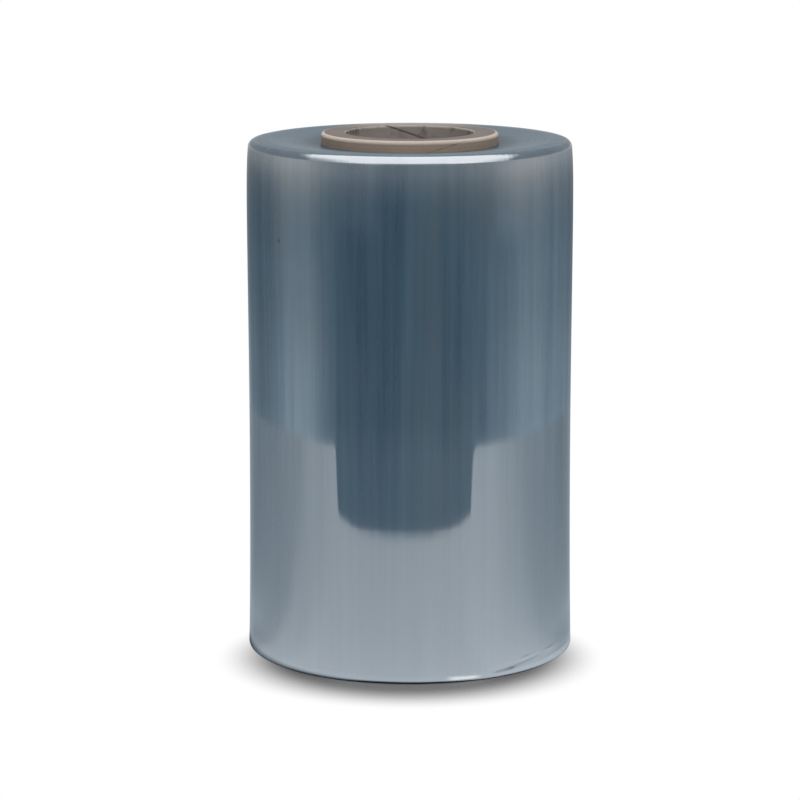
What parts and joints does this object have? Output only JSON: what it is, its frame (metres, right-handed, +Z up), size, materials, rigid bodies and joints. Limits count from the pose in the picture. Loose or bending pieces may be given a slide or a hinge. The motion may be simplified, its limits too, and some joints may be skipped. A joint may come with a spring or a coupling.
{
  "type": "shrink wrap tubing roll",
  "caption": "Roll of blue-tinted lay-flat shrink film tubing, wound tight on a spiral paperboard core that stands a little proud at both ends.",
  "frame": {"origin": "where the core's axis meets the surface that the roll stands on", "axes": "+Z up the core's axis, from the foot to the end with the dished crown; -Y towards the front, so the film's free tail runs down the back at +Y"},
  "size_m": [0.1956, 0.1958, 0.3096],
  "materials": {
    "core_board": "matte",
    "shrink_film": "gloss"
  },
  "bodies": {
    "root": {"core": "core_board", "film_roll": "shrink_film"}
  },
  "joints": []
}
